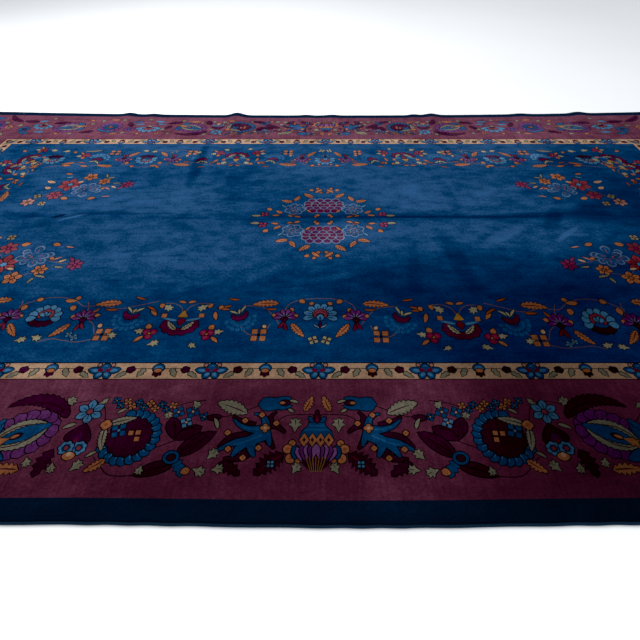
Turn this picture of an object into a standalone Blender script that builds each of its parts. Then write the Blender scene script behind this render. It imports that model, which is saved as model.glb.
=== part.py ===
"""Hand-knotted room-size carpet, laid flat, with the overcast cord that finishes each of its four edges.

Metres, +Z up. The origin is on the floor at the middle of the carpet; +X runs along its length and
+Y across it, from the front edge to the back edge, which is the one with the ripples.
"""

import bpy
import bmesh
from math import cos, exp, pi, sin

# Driving sizes
LENGTH = 5.450  # 17 feet and 10 inches, over the end cords
WIDTH = 3.050  # 10 feet at the corners, over the side cords
THICKNESS = 0.012  # woven ground and cut pile together
SHOULDER = 0.007  # height at which the pile starts to round in at its rim
RIM_ROUND = 0.005  # how far the top of the pile stands in from its side

# Overcast edge cords
CORD_WIDTH = 0.010
CORD_HEIGHT = 0.008
CORD_SIDES = 8
CLEARANCE = 0.0003  # between neighbouring pieces

# How the carpet lies: a little askew, with edges that are not quite straight
SKEW = 0.0236  # how far the rows slide along X for each metre across the carpet
FRONT_WAVE = 0.005  # half the depth of the slow wave along the front edge
FRONT_WAVE_LENGTH = 1.9
FRONT_WAVE_AT = 0.15  # place along X where the front edge bulges most
BACK_DRAW_IN = 0.088  # how far the back edge is drawn in at its middle
END_WAVE = 0.004
END_WAVE_LENGTH = 1.8
BORDER = 0.512  # depth of the outer border, which takes up the unevenness of the edges

# Ripples that run in from the back edge: place along X, height, half width, reach into the carpet
RIPPLES = [
    # x      height  half_width  reach
    (-1.462, 0.011, 0.050, 0.34),
    (-1.278, 0.006, 0.045, 0.24),
    (-0.644, 0.019, 0.055, 0.42),
    (-0.125, 0.005, 0.045, 0.20),
    (0.074, 0.006, 0.050, 0.24),
    (0.692, 0.007, 0.045, 0.26),
    (0.822, 0.013, 0.055, 0.38),
    (1.502, 0.006, 0.070, 0.26),
    (1.952, 0.012, 0.060, 0.34),
]

# Creases from folding: middle x and y, half length, half width, height, turn in radians
CREASES = [
    # x      y      half_length  half_width  height  turn
    (0.000, 0.050, 2.600, 0.040, 0.004, 0.00),
    (-1.390, 0.040, 0.170, 0.045, 0.007, 0.14),
    (-1.190, 0.090, 0.200, 0.050, 0.006, 0.08),
    (1.350, 0.080, 0.260, 0.060, 0.004, -0.05),
]

# Rows and columns of points, spaced by rule and closer together where the carpet is not flat
GRID_STEP = 0.20
LEAST_STEP = 0.018
RIPPLE_STEPS = (-1.7, -0.85, 0.0, 0.85, 1.7)  # in half widths of a ripple
CREASE_STEPS = (-0.05, 0.0, 0.03, 0.06, 0.09, 0.13, 0.18)  # metres from the long axis
EDGE_STEPS = (0.05, 0.12, 0.21, 0.33)  # metres in from the back edge

HALF_LENGTH = LENGTH / 2
HALF_WIDTH = WIDTH / 2

NAVY = (0.010, 0.022, 0.050, 1.0)
FIELD_BLUE = (0.016, 0.075, 0.190, 1.0)


def front_shift(x):
    return FRONT_WAVE * (1 - cos(2 * pi * (x - FRONT_WAVE_AT) / FRONT_WAVE_LENGTH))


def back_shift(x):
    return -BACK_DRAW_IN * (1 - (x / HALF_LENGTH) ** 2)


def end_shift(y):
    return -END_WAVE * (1 - cos(2 * pi * y / END_WAVE_LENGTH))


def share_of_edge(distance, half):
    """How far a point follows the unevenness of its edge: 0 inside the border, 1 at the edge."""
    return max(0.0, (abs(distance) - half + BORDER) / BORDER)


def lay(u, v):
    """Where a point of the straight weave (u, v) lies on the floor."""
    edge_shift = front_shift(u) if v < 0 else back_shift(u)
    x = u + SKEW * v + share_of_edge(u, HALF_LENGTH) * end_shift(v) * (1 if u > 0 else -1)
    y = v + share_of_edge(v, HALF_WIDTH) * edge_shift
    return x, y


def lift(x, y):
    """How far the underside of the carpet stands off the floor."""
    height = 0.0
    from_back = HALF_WIDTH + back_shift(x) - y
    for at, peak, half_width, reach in RIPPLES:
        run_in = max(0.0, 1 - max(from_back, 0.0) / reach) ** 1.5
        height += peak * run_in * exp(-(((x - at) / half_width) ** 2))
    for mid_x, mid_y, half_length, half_width, peak, turn in CREASES:
        along = (x - mid_x) * cos(turn) + (y - mid_y) * sin(turn)
        across = (y - mid_y) * cos(turn) - (x - mid_x) * sin(turn)
        taper = max(0.0, 1 - (along / half_length) ** 2)
        height += peak * taper * exp(-((across / half_width) ** 2))
    return height if height > 0.0001 else 0.0


def spaced(places, low, high):
    """The places in order from low to high, without those that crowd a neighbour."""
    kept = [low]
    for place in sorted(p for p in places if low + LEAST_STEP < p < high - LEAST_STEP):
        if place - kept[-1] > LEAST_STEP:
            kept.append(place)
    return kept + [high]


def columns(low, high):
    count = round((high - low) / GRID_STEP)
    even = [low + (high - low) * i / count for i in range(1, count)]
    at_ripples = [x + step * half for x, _, half, _ in RIPPLES for step in RIPPLE_STEPS]
    clear = [x for x in even if all(abs(x - r) > GRID_STEP / 4 for r in at_ripples)]
    return spaced(clear + at_ripples, low, high)


def rows(low, high):
    count = round((high - low) / GRID_STEP)
    even = [low + (high - low) * i / count for i in range(1, count)]
    close = list(CREASE_STEPS) + [high - step for step in EDGE_STEPS]
    clear = [y for y in even if all(abs(y - c) > GRID_STEP / 4 for c in close)]
    return spaced(clear + close, low, high)


def material(name, colour, roughness):
    made = bpy.data.materials.new(name)
    made.use_nodes = True
    shader = made.node_tree.nodes["Principled BSDF"]
    shader.inputs["Base Color"].default_value = colour
    shader.inputs["Roughness"].default_value = roughness
    shader.inputs["Metallic"].default_value = 0.0
    return made


def finish(name, mesh, surface):
    mesh.normal_update()
    data = bpy.data.meshes.new(name)
    mesh.to_mesh(data)
    mesh.free()
    data.materials.append(surface)
    data.shade_smooth()
    data.set_sharp_from_angle(angle=0.6)
    made = bpy.data.objects.new(name, data)
    bpy.context.collection.objects.link(made)
    return made


def build_carpet(surface):
    """The knotted carpet as one sheet: underside, upright side and a top that rounds in at the rim."""
    inset = CORD_WIDTH + CLEARANCE
    us = columns(-HALF_LENGTH + inset, HALF_LENGTH - inset)
    vs = rows(-HALF_WIDTH + inset, HALF_WIDTH - inset)
    last_u = len(us) - 1
    last_v = len(vs) - 1
    mesh = bmesh.new()

    def point(i, j, height, pull):
        """A grid point at a height above the underside, its rim points pulled in."""
        in_u = pull * ((i == 0) - (i == last_u))
        in_v = pull * ((j == 0) - (j == last_v))
        x, y = lay(us[i] + in_u, vs[j] + in_v)
        return mesh.verts.new((x, y, lift(x, y) + height))

    grid = [(i, j) for i in range(len(us)) for j in range(len(vs))]
    rim = (
        [(i, 0) for i in range(last_u)]
        + [(last_u, j) for j in range(last_v)]
        + [(i, last_v) for i in range(last_u, 0, -1)]
        + [(0, j) for j in range(last_v, 0, -1)]
    )
    under = {ij: point(*ij, 0.0, 0.0) for ij in grid}
    top = {ij: point(*ij, THICKNESS, RIM_ROUND) for ij in grid}
    shoulder = {ij: point(*ij, SHOULDER, 0.0) for ij in rim}
    for i in range(last_u):
        for j in range(last_v):
            ring = [(i, j), (i + 1, j), (i + 1, j + 1), (i, j + 1)]
            mesh.faces.new([top[ij] for ij in ring])
            mesh.faces.new([under[ij] for ij in reversed(ring)])
    for here, there in zip(rim, rim[1:] + rim[:1]):
        mesh.faces.new((under[here], under[there], shoulder[there], shoulder[here]))
        mesh.faces.new((shoulder[here], shoulder[there], top[there], top[here]))
    return finish("carpet", mesh, surface)


def build_cord(name, route, surface):
    """An overcast cord: an oval section carried along a list of (u, v) with its inward direction."""
    mesh = bmesh.new()
    rings = []
    for u, v, in_u, in_v in route:
        ring = []
        for side in range(CORD_SIDES):
            turn = 2 * pi * (side + 0.5) / CORD_SIDES
            off = CORD_WIDTH / 2 * (1 + cos(turn) / cos(pi / CORD_SIDES))
            up = CORD_HEIGHT / 2 * (1 + sin(turn) / cos(pi / CORD_SIDES))
            x, y = lay(u + off * in_u, v + off * in_v)
            ring.append(mesh.verts.new((x, y, lift(x, y) + up)))
        rings.append(ring)
    for ring, after in zip(rings, rings[1:]):
        for k in range(CORD_SIDES):
            n = (k + 1) % CORD_SIDES
            mesh.faces.new((ring[k], ring[n], after[n], after[k]))
    mesh.faces.new(rings[0])
    mesh.faces.new(reversed(rings[-1]))
    bmesh.ops.recalc_face_normals(mesh, faces=mesh.faces)
    return finish(name, mesh, surface)


def build():
    for old in list(bpy.data.objects):
        bpy.data.objects.remove(old)
    pile = material("knotted_wool", FIELD_BLUE, 0.9)
    cord = material("overcast_wool", NAVY, 0.85)
    build_carpet(pile)
    us = columns(-HALF_LENGTH, HALF_LENGTH)
    end_v = HALF_WIDTH - CORD_WIDTH - CLEARANCE
    vs = rows(-end_v, end_v)
    build_cord("edge_cord_front", [(u, -HALF_WIDTH, 0, 1) for u in us], cord)
    build_cord("edge_cord_back", [(u, HALF_WIDTH, 0, -1) for u in us], cord)
    build_cord("edge_cord_left", [(-HALF_LENGTH, v, 1, 0) for v in vs], cord)
    build_cord("edge_cord_right", [(HALF_LENGTH, v, -1, 0) for v in vs], cord)


build()
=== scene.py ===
from cmath import exp
from math import cos, log, pi, radians, sin

import bpy
import numpy as np
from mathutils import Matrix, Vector
from mathutils.geometry import delaunay_2d_cdt


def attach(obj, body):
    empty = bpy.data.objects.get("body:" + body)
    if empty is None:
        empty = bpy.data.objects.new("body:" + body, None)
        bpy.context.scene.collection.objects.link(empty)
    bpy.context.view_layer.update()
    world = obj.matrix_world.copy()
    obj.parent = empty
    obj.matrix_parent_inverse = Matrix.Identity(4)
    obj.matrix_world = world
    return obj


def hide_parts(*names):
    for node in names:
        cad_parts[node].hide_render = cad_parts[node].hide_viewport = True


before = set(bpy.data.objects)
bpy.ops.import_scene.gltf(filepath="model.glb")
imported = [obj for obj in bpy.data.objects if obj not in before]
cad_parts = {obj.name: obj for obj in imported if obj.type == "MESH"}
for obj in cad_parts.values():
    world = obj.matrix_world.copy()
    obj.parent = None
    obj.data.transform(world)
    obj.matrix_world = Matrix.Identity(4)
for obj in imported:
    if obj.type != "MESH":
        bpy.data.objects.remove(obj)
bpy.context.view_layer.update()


# --- The place it is shown in -------------------------------------------------------------------
# A white studio floor under a high soft light. The eye is at chest height, 40 cm in front of the
# long edge, looking steeply down through a wide lens.

def stand(name, data):
    """A new object in the scene."""
    made = bpy.data.objects.new(name, data)
    bpy.context.collection.objects.link(made)
    return made


eye = stand("eye", bpy.data.cameras.new("eye"))
eye.location = (-0.018, -1.929, 1.298)
eye.rotation_euler = (radians(90 - 46.6), 0, 0)
eye.data.lens = 24
eye.data.sensor_width = 36
eye.data.clip_start = 0.01
bpy.context.scene.camera = eye
bpy.context.scene.view_settings.view_transform = "Standard"


class Term:
    """A socket, or a number, in shader maths."""

    def __init__(self, tree, socket):
        self.tree, self.socket = tree, socket

    def node(self, kind, settings, values, out=0):
        """A node of this kind, its settings made first and then its sockets set or linked."""
        made = self.tree.nodes.new("ShaderNode" + kind)
        for key, value in settings.items():
            setattr(made, key, value)
        for key, value in values.items():
            if isinstance(value, Term):
                self.tree.links.new(value.socket, made.inputs[key])
            else:
                made.inputs[key].default_value = value
        return Term(self.tree, made.outputs[out])

    def math(self, operation, *terms):
        return self.node("Math", {"operation": operation}, dict(enumerate(terms)))

    def __add__(self, other):
        return self.math("ADD", self, other)

    def __rsub__(self, other):
        return self.math("SUBTRACT", other, self)

    def __mul__(self, other):
        return self.math("MULTIPLY", self, other)

    __radd__, __rmul__ = __add__, __mul__

    def wave(self):
        return self.math("SINE", self)

    def band(self, low, high):
        """0 below low, 1 above high."""
        return self.node("MapRange", {"interpolation_type": "SMOOTHSTEP"},
                         {"Value": self, "From Min": low, "From Max": high})

    def grey(self):
        """A grey of this value."""
        return self.node("CombineColor", {}, dict.fromkeys(("Red", "Green", "Blue"), self))

    def between(self, low, high):
        """A colour that goes from low at 0 to high at 1."""
        return self.node("Mix", {"data_type": "RGBA"}, {0: self, 6: (*low, 1), 7: (*high, 1)}, 2)

    def colour(self, mode, other):
        """This colour mixed with another."""
        return self.node("Mix", {"data_type": "RGBA", "blend_type": mode, "clamp_result": True},
                         {0: 1.0, 6: self, 7: other}, 2)


def finish_of(name, values):
    """A Principled material, its shader, a start for its nodes and the place in metres."""
    made = bpy.data.materials.new(name)
    made.use_nodes = True
    shader = made.node_tree.nodes["Principled BSDF"]
    for key, value in values.items():
        shader.inputs[key].default_value = value
    start = Term(made.node_tree, None)
    return made, shader, start, start.node("TexCoord", {}, {}, "Object")


def speckle(where, stretch, scale, detail=2.0, rough=0.5, turn=0.0):
    """Noise of about 0 to 1 over the piece, finer along each axis by its stretch."""
    if turn:
        turned = {"Vector": where, "Rotation": (0, 0, turn)}
        where = where.node("Mapping", {"vector_type": "TEXTURE"}, turned)
    where = where.node("Mapping", {}, {"Vector": where, "Scale": stretch})
    noise = {"Vector": where, "Scale": scale, "Detail": detail, "Roughness": rough}
    return where.node("TexNoise", {}, noise)


def wire(shader, colour=None, roughness=None, bumps=()):
    """Feeds what varies into the shader; bumps are (height, depth in metres)."""
    tree = shader.id_data
    if colour:
        tree.links.new(colour.socket, shader.inputs["Base Color"])
    if roughness:
        tree.links.new(roughness.socket, shader.inputs["Roughness"])
    if bumps:
        height = sum((h * depth for h, depth in bumps), 0.0)
        bump = height.node("Bump", {}, {"Strength": 1.0, "Distance": 1.0, "Height": height})
        tree.links.new(bump.socket, shader.inputs["Normal"])


paint, shader, start, place = finish_of("studio_floor_paint", {"Roughness": 0.6})
grime = speckle(place, (1, 1, 1), 0.7)
wire(shader, grime.between((0.80, 0.81, 0.82), (0.86, 0.865, 0.87)))
FLOOR_REACH, FLOOR_DROP = 40, 0.0008  # just clear of the rug's underside
corners = [(x * FLOOR_REACH, y * FLOOR_REACH, -FLOOR_DROP) for x, y in ((-1, -1), (1, -1), (1, 1), (-1, 1))]
floor = stand("floor", bpy.data.meshes.new("floor"))
floor.data.from_pydata(corners, [], [(0, 1, 2, 3)])
floor.data.materials.append(paint)

for name, spot, size, watts in (
    # name, place, size, power
    ("soft_box", (-2.2, 2.4, 4.2), 5.0, 260),
    ("fill_box", (2.5, -3.0, 4.0), 5.0, 60),
):
    lamp = stand(name, bpy.data.lights.new(name, "AREA"))
    lamp.location = spot
    lamp.rotation_euler = (-Vector(spot)).to_track_quat("-Z", "Y").to_euler()
    lamp.data.size = size
    lamp.data.energy = watts
sky = bpy.data.worlds.new("sky")
sky.use_nodes = True
glow = sky.node_tree.nodes["Background"].inputs
glow["Color"].default_value = (0.93, 0.96, 1.0, 1)
glow["Strength"].default_value = 0.75
bpy.context.scene.world = sky


# --- The woven ground ---------------------------------------------------------------------------
# A plain web of cotton warps and wefts on which the wool is knotted, woven on a wide upright loom.
# Its back shows the flat backs of the knots in the colours of the pattern's bands.

HALF_LENGTH, HALF_WIDTH = 5.450 / 2, 3.050 / 2
CORD_ROOM = 0.0103  # the bound edge takes up this much
REACH = HALF_LENGTH - CORD_ROOM, HALF_WIDTH - CORD_ROOM
# where the pattern's bands end, out from the middle, lengthwise and across
FIELD_EDGE, STRIPE_EDGE, BORDER_EDGE = (2.1345, 0.9345), (2.213, 1.013), (2.649, 1.449)
BORDER_DEPTH = 0.512  # border and guard, which are laid less straight than the rest
BACK_BOW = 0.088  # how far the ends of the back edge are drawn in
SKEW = 0.0236
MIDDLE_SLIDE = 0.025  # how far the middle of the pattern sits towards the back
WEB_TOP = 0.0027
ALL_ROUND = ((1, 1), (-1, 1), (-1, -1), (1, -1))

RIPPLES = [
    # x      height  half_width  reach
    (-1.462, 0.011, 0.050, 0.34),
    (-1.278, 0.006, 0.045, 0.24),
    (-0.644, 0.019, 0.055, 0.42),
    (-0.125, 0.005, 0.045, 0.20),
    (0.074, 0.006, 0.050, 0.24),
    (0.692, 0.007, 0.045, 0.26),
    (0.822, 0.013, 0.055, 0.38),
    (1.502, 0.006, 0.070, 0.26),
    (1.952, 0.012, 0.060, 0.34),
]
CREASES = [
    # x      y      half_length  half_width  height  turn
    (0.000, 0.050, 2.600, 0.040, 0.004, 0.00),
    (-1.390, 0.040, 0.170, 0.045, 0.007, 0.14),
    (-1.190, 0.090, 0.200, 0.050, 0.006, 0.08),
    (1.350, 0.080, 0.260, 0.060, 0.004, -0.05),
]
WOOLS = {
    # yarn        red, green and blue, 0 to 255, as seen where the pile is bright
    "outline": (8, 20, 38),
    "guard": (12, 34, 58),
    "blue": (40, 77, 117),
    "plum": (112, 67, 84),
    "plum_dark": (58, 24, 42),
    "cream": (189, 153, 127),
    "maroon": (72, 36, 60),
    "wine": (94, 44, 72),
    "straw": (158, 150, 126),
    "orange": (171, 110, 81),
    "rust": (154, 90, 68),
    "rust_dark": (98, 56, 52),
    "twig": (124, 94, 86),
    "soft_blue": (57, 99, 141),
    "lilac": (136, 92, 140),
    "purple_dark": (84, 46, 82),
    "red": (142, 70, 76),
    "pink_red": (122, 62, 90),
    "light_blue": (84, 126, 162),
    "mid_blue": (48, 84, 124),
    "sage": (134, 128, 112),
    "purple": (106, 64, 110),
    "magenta": (138, 54, 84),
    "coral": (130, 71, 80),
    "coral_dark": (112, 53, 68),
    "lavender": (106, 122, 148),
    "gold": (166, 122, 72),
    "pink": (168, 122, 118),
}
LIT = 1.42  # the light makes wool this much brighter than its dye
DYE = {yarn: tuple((c / 255) ** 2.2 / LIT for c in seen) + (1.0,) for yarn, seen in WOOLS.items()}


def lay(u, v):
    """Where points (u, v) of the straight weave lie on the floor."""
    drift = np.clip(u / 0.55, 0, 1) * np.clip((2.6 - u) / 0.8, 0, 1) * np.clip((v - 0.45) / 0.35, 0, 1)
    u = u - 0.085 * drift  # knotted tighter along the back at the right
    front = 0.005 * (1 - np.cos(2 * pi * (u - 0.15) / 1.9))
    back = -BACK_BOW * (1 - (u / HALF_LENGTH) ** 2)
    ends = -0.004 * (1 - np.cos(2 * pi * v / 1.8)) * np.sign(u)
    share_u = np.maximum(0, (abs(u) - HALF_LENGTH + BORDER_DEPTH) / BORDER_DEPTH)
    share_v = np.maximum(0, (abs(v) - HALF_WIDTH + BORDER_DEPTH) / BORDER_DEPTH)
    scallops = 0.0008 * np.sin(38 * u + 2.2 * np.sin(9 * u + v)) * share_v**8
    slide = MIDDLE_SLIDE * np.maximum(0, 1 - (v / 0.95) ** 2)
    between = np.clip((-v - 0.5) / 0.4345, 0, 1)
    slip = -0.042 * np.clip(u / 1.1, 0, 1) * np.sin(pi * between**1.6)  # knotted low, front right
    y = v + share_v * np.where(v < 0, front, back) + scallops + slide + slip
    return u + SKEW * v + share_u * ends, y


def lift(x, y):
    """How far the underside stands off the floor."""
    height = 0 * x
    from_back = HALF_WIDTH - BACK_BOW * (1 - (x / HALF_LENGTH) ** 2) - y
    for at, peak, half_width, reach in RIPPLES:
        run_in = np.maximum(0, 1 - np.maximum(from_back, 0) / reach) ** 1.5
        height = height + peak * run_in * np.exp(-(((x - at) / half_width) ** 2))
    for mid_x, mid_y, half_length, half_width, peak, turn in CREASES:
        along = (x - mid_x) * cos(turn) + (y - mid_y) * sin(turn)
        across = (y - mid_y) * cos(turn) - (x - mid_x) * sin(turn)
        taper = np.maximum(0, 1 - (along / half_length) ** 2)
        height = height + peak * taper * np.exp(-((across / half_width) ** 2))
    return np.where(height > 0.0001, height, 0)


def box(line):
    """The least and the greatest u and v of a line."""
    return [(pick(p.real for p in line), pick(p.imag for p in line)) for pick in (min, max)]


def runs_round(line):
    """Twice the area inside a closed line, positive if it runs anticlockwise."""
    return sum((a.conjugate() * b).imag for a, b in zip(line, line[1:] + line[:1]))


def quarter(in_u, in_v, out_u, out_v, step=0.02):
    """The outline, in the back right quarter, of a band between two rectangles, with points along
    its sides. Where in_u or in_v is not above 0 the band is a plain rectangle."""
    if min(in_u, in_v) > 0:
        corners = (in_u, 0), (out_u, 0), (out_u, out_v), (0, out_v), (0, in_v), (in_u, in_v)
    else:
        low_u, low_v = max(in_u, 0), max(in_v, 0)
        corners = (low_u, low_v), (out_u, low_v), (out_u, out_v), (low_u, out_v)
    corners = [complex(*corner) for corner in corners]
    line = []
    for a, b in zip(corners, corners[1:] + corners[:1]):
        count = max(1, round(abs(b - a) / step))
        line += [a + (b - a) * k / count for k in range(count)]
    return line


def cut(lines, extra=(), step=0.04):
    """Cuts the flat quarter along closed lines. Gives points, triangles and the top line over each."""
    points, rings = [], []
    for line in lines:
        rings.append(list(range(len(points), len(points) + len(line))))
        points += line if runs_round(line) > 0 else line[::-1]
    near, far = box(lines[0])
    rows = [np.arange(a + step, b, step) for a, b in zip(near, far)]
    points += [*extra, *(complex(u, v) for u in rows[0] for v in rows[1])]
    flat = [Vector((p.real, p.imag)) for p in points]
    spots, _, triangles, _, _, over = delaunay_2d_cdt(flat, [], rings, 0, 1e-5, True)
    kept = [k for k, o in enumerate(over) if 0 in o]
    return np.array(spots, dtype=float), np.array([triangles[k] for k in kept]), [max(over[k]) for k in kept]


def mirrored(spots, triangles, sides):
    """The quarter mirrored to each side, sharing the points on the axes."""
    every = np.concatenate([spots * side for side in sides])
    faces = [triangles[:, ::u * v] + k * len(spots) for k, (u, v) in enumerate(sides)]
    _, keep, same = np.unique(np.round(every, 5) + 0.0, axis=0, return_index=True, return_inverse=True)
    return every[keep], np.ravel(same)[np.concatenate(faces)]


def unroll(flat, faces, inside, outside):
    """Room for every face in the unit square: a rectangle as it is, a band cut into rows."""
    u, v = flat[faces].transpose(2, 0, 1)
    if max(inside) <= 0:
        return np.stack([0.5 + u / outside[0] * 0.49, 0.51 + v / outside[1] * 0.48], -1)
    mid_u, mid_v = u.mean(1, keepdims=True), v.mean(1, keepdims=True)
    long = (abs(mid_v) > inside[1]) & (inside[1] > 0)
    run, across = np.where(long, (u, v), (v, u))
    mid, side = np.where(long, mid_u, mid_v), np.where(long, mid_v, mid_u) > 0
    half = np.where(long, outside[0], inside[1] if inside[1] > 0 else outside[1])
    parts = np.where(long, 3, 1 if inside[1] > 0 else 2)
    part = np.clip((mid + half) * parts // (2 * half), 0, parts - 1)
    row = part + parts * side + np.where(long | (inside[1] < 0), 0, 6)
    row -= row.min()
    run = (run + half) / (2 * half) * parts - part
    edges = np.where(long, inside[1], inside[0]), np.where(long, outside[1], outside[0])
    across = (abs(across) - edges[0]) / (edges[1] - edges[0])
    stretch = half / parts / (half / parts).max()
    across = 0.03 + 0.97 * (row + 0.05 + 0.9 * across) / (row.max() + 1)
    return np.stack([0.03 + 0.94 * run * stretch, across], -1)


def sheet(name, upper, lower, top, foot, finish, inside, outside, sides=ALL_ROUND, relief=None):
    """A closed sheet: its upper and lower face each cut in a quarter along lines of (yarn, line),
    whose first is the outline, then mirrored, laid out and walled round."""
    spots, patches, over = cut([line for _, line in upper])
    face, faces = mirrored(spots, patches, sides)
    yarns = [upper[k][0] for k in over] * len(sides)
    hems = np.concatenate([faces[:, [0, 1]], faces[:, [1, 2]], faces[:, [2, 0]]])
    hems = hems[~np.isin(hems[:, 0] * len(face) + hems[:, 1], hems[:, 1] * len(face) + hems[:, 0])]
    on_hem = [complex(*face[k]) for k in np.unique(hems) if min(face[k] * sides[0]) > -1e-6]
    spots, patches, over = cut([line for _, line in lower], on_hem)
    back, back_faces = mirrored(spots, patches, sides)
    down = {k: len(face) + np.argmin(((back - face[k]) ** 2).sum(1)) for k in np.unique(hems)}
    walls = [f for a, b in hems for f in ((b, a, down[a]), (b, down[a], down[b])) if len(set(f)) == 3]
    flat = np.concatenate([face, back])
    sunk = relief(face, faces, yarns) if relief else np.zeros(len(face))
    x, y = lay(*flat.T)
    z = lift(x, y) + np.concatenate([top - sunk, np.full(len(back), foot)])
    every = np.concatenate([faces, np.array(walls), back_faces[:, ::-1] + len(face)])
    yarns += [upper[0][0]] * len(walls) + [lower[k][0] for k in over] * len(sides)
    shown = slice(0, len(faces)) if relief else slice(len(faces) + len(walls), None)
    uvs = 0.5 + flat[every] / 6 * (1, 0.01) - (0, 0.49)
    uvs[shown] = unroll(flat, every[shown], inside, outside)

    mesh = bpy.data.meshes.new(name)
    mesh.from_pydata(np.stack([x, y, z], -1), [], every)
    mesh.materials.append(finish)
    mesh.uv_layers.new(name="OFBake").data.foreach_set("uv", np.ravel(uvs))
    dyes = mesh.attributes.new("yarn", "FLOAT_COLOR", "FACE")
    dyes.data.foreach_set("color", np.ravel([DYE[yarn] for yarn in yarns]))
    mesh.shade_smooth()
    mesh.set_sharp_from_angle(angle=0.9)
    made = stand(name, mesh)
    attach(made, "root")
    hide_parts("carpet")
    return made


plain = {"Roughness": 0.9, "Sheen Weight": 0.1}
web_back, shader, start, place = finish_of("knot_backs_and_cotton_web", plain)
yarn = start.node("Attribute", {"attribute_name": "yarn"}, {}, "Color")
across, along = (start.node("SeparateXYZ", {}, {"Vector": place}, axis) for axis in "YX")
KNOT_TURN = 2400  # radians a metre, a knot every 2.6 mm
knots = (across * KNOT_TURN).wave() * 0.5 + (along * KNOT_TURN).wave() * 0.5
fade = speckle(place, (1, 6, 1), 40).between((0.7, 0.7, 0.7), (1.25, 1.22, 1.15))
fuzz = speckle(place, (1, 1, 1), 300)
wire(shader, yarn.colour("MULTIPLY", fade), bumps=[(knots, 0.0003), (fuzz, 0.0002)])

edge = [("guard", quarter(0, 0, *REACH, 0.0125))]
backs = [("plum", BORDER_EDGE), ("cream", STRIPE_EDGE), ("blue", FIELD_EDGE)]
woven_ground = sheet("woven_ground", edge, edge + [(yarn, quarter(0, 0, *ends)) for yarn, ends in backs],
                     WEB_TOP, 0.0, web_back, (0, 0), REACH)


# --- The blue field -----------------------------------------------------------------------------
# Cut wool pile 9 mm deep, dyed in the yarn and knotted row by row, a colour to a motif, with each
# motif ringed by a dark line of its own. Sheen and shade are painted into its colour: darker towards
# the front and the right, lighter and darker in patches where the pile leans, with painted shade and
# highlights along the folds.

PILE_TOP, PILE_FOOT = 0.012, 0.003
LINE_SINK = 0.0012  # the dark lines are clipped a little lower
RIM_DROP = 0.005  # the pile is worn down this much beside the bound edge
STRAY = 0.5, 0.16  # how far the rims of the painted sheen patches wander, along and across
FOLD_CORE = 0.35  # the share of a fold's reach that has its full painted shade or highlight
# Painted sheen and shade: ovals that darken or lighten the pile's colour, towards the front and the right,
# in patches where the pile leans, and along the middle crease
PAINTED_SHEEN_PATCHES = [
    # x      y      reach_x  reach_y  brightness in the middle
    (0.00, -1.55, 9.00, 1.05, 0.40),
    (-0.90, -0.66, 1.90, 0.36, 0.66),
    (0.20, -0.50, 0.75, 0.45, 0.60),
    (1.50, -0.85, 1.60, 1.10, 0.45),
    (0.75, -0.95, 0.95, 1.00, 0.50),
    (1.15, -0.50, 0.60, 0.30, 0.60),
    (-0.20, -1.15, 0.70, 0.45, 0.65),
    (0.85, -1.42, 0.90, 0.35, 0.60),
    (0.55, 0.24, 0.30, 0.20, 1.25),
    (2.02, 0.20, 1.10, 1.20, 0.42),
    (-0.20, 0.12, 0.60, 0.55, 0.84),
    (-0.52, 0.42, 0.14, 0.30, 0.72),
    (-2.10, 0.25, 0.60, 1.20, 0.76),
    (0.00, 0.056, 6.00, 0.08, 0.80),
    (0.26, -1.46, 0.30, 0.22, 1.35),
    (0.40, -1.12, 0.32, 0.30, 1.50),
    (-0.20, 1.50, 2.20, 1.10, 1.02),
    (-0.53, -1.42, 0.36, 0.14, 0.80),
    (-0.20, -1.06, 0.30, 0.12, 0.88),
    (0.58, -1.06, 0.26, 0.14, 0.84),
    (1.40, -0.30, 0.26, 0.20, 0.78),
]
# Painted shade and highlights along the folds and creases: below 1 darkens the pile's colour, above 1
# lightens it
PAINTED_FOLD_SHADE_AND_HIGHLIGHTS = [
    # x      y      reach_x  reach_y  turn   brightness in the middle
    (-0.790, 0.65, 0.052, 0.40, 0.00, 0.66),
    (0.80, 0.046, 0.72, 0.020, 0.00, 0.66),
    (1.16, 0.068, 0.30, 0.030, 0.03, 0.74),
    (1.95, 0.060, 0.60, 0.022, 0.02, 0.78),
    (1.256, -0.10, 0.13, 0.022, 0.69, 1.40),
    (1.46, 0.10, 0.17, 0.13, 0.50, 0.68),
    (1.56, 0.70, 0.24, 0.17, 0.00, 0.74),
    (1.10, 0.24, 0.30, 0.05, 0.60, 0.82),
    (0.15, 0.046, 0.60, 0.020, 0.00, 0.74),
    (-1.10, 0.075, 0.34, 0.016, 0.04, 0.76),
    (-1.42, 0.046, 0.055, 0.016, 0.50, 0.40),
    (-1.335, 0.038, 0.11, 0.014, 0.40, 1.80),
    (-1.55, 0.050, 0.14, 0.016, -0.06, 0.80),
    (-0.60, 0.030, 0.45, 0.016, -0.04, 0.84),
    (0.64, -0.32, 0.07, 0.34, 0.12, 0.78),
    (0.42, -0.42, 0.05, 0.26, -0.10, 0.84),
    (1.22, 0.02, 0.06, 0.16, -0.50, 0.72),
    (0.72, 0.30, 0.05, 0.26, 0.15, 0.84),
    (0.93, -0.11, 0.16, 0.05, 0.50, 1.30),
    (0.06, -0.44, 0.16, 0.03, 0.20, 1.22),
    (-1.05, -0.30, 0.50, 0.03, 0.18, 1.16),
    (-0.45, 0.22, 0.22, 0.03, -0.10, 0.84),
]
WRINKLES = [
    # x      y      half_length  half_width  turn   rise in metres
    (-1.36, 0.06, 0.22, 0.030, 0.22, 0.012),
    (-1.12, 0.11, 0.30, 0.035, 0.06, 0.008),
    (-0.70, 0.02, 0.20, 0.030, -0.12, 0.006),
    (-0.30, -0.06, 0.34, 0.040, 0.05, 0.006),
    (-0.62, -0.34, 0.40, 0.050, 0.24, 0.006),
    (0.95, -0.02, 0.50, 0.040, -0.04, 0.006),
    (1.25, 0.10, 0.34, 0.035, 0.10, 0.007),
    (0.55, -0.30, 0.45, 0.050, 0.30, 0.005),
]


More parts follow.
